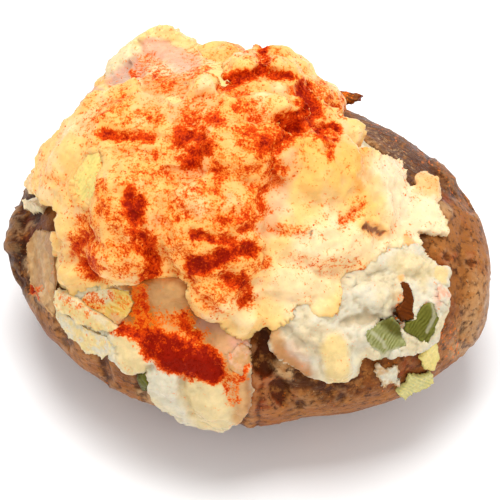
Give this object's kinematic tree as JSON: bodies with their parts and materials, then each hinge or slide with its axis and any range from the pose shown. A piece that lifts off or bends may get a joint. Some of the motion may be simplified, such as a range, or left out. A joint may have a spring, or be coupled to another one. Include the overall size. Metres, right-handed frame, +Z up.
{
  "type": "baked potato with filling",
  "caption": "Whole baked potato split open and heaped with a creamy leek and ham filling under melted cheese, dusted with paprika.",
  "frame": {"origin": "middle of the box round the whole food, on the surface it rests on", "axes": "+X along the potato's long axis, -Y towards the eater, +Z up"},
  "size_m": [0.126, 0.0998, 0.0891],
  "materials": {
    "baked_skin": "mottled brown, semi-gloss, wrinkled",
    "creamy_mash": "moist, flaky cream",
    "melted_cheese": "oily, cream to orange, paprika on top",
    "potato_flesh": "moist, pale yellow",
    "soft_onion": "glossy, golden",
    "green_leek": "glossy, ribbed green",
    "pale_leek": "glossy, ribbed yellow-green",
    "cooked_ham": "moist pink",
    "toasted_edge": "dark toasted",
    "thin_sauce": "thin tan glaze"
  },
  "bodies": {
    "root": {"back_slice": "potato_flesh", "browned_strip": "toasted_edge", "creamy_filling": "creamy_mash", "ham_front": "cooked_ham", "ham_right": "cooked_ham", "leek_dark": "green_leek", "leek_front": "green_leek", "leek_light": "green_leek", "leek_pale_lower": "pale_leek", "leek_pale_upper": "pale_leek", "mash_crumb": "potato_flesh", "mash_finger": "potato_flesh", "melted_cheese": "melted_cheese", "onion_slice": "soft_onion", "onion_strip": "soft_onion", "potato": "baked_skin", "sauce_flap": "thin_sauce", "skin_flake": "baked_skin", "white_slice_lower": "potato_flesh", "white_slice_upper": "potato_flesh"}
  },
  "joints": []
}
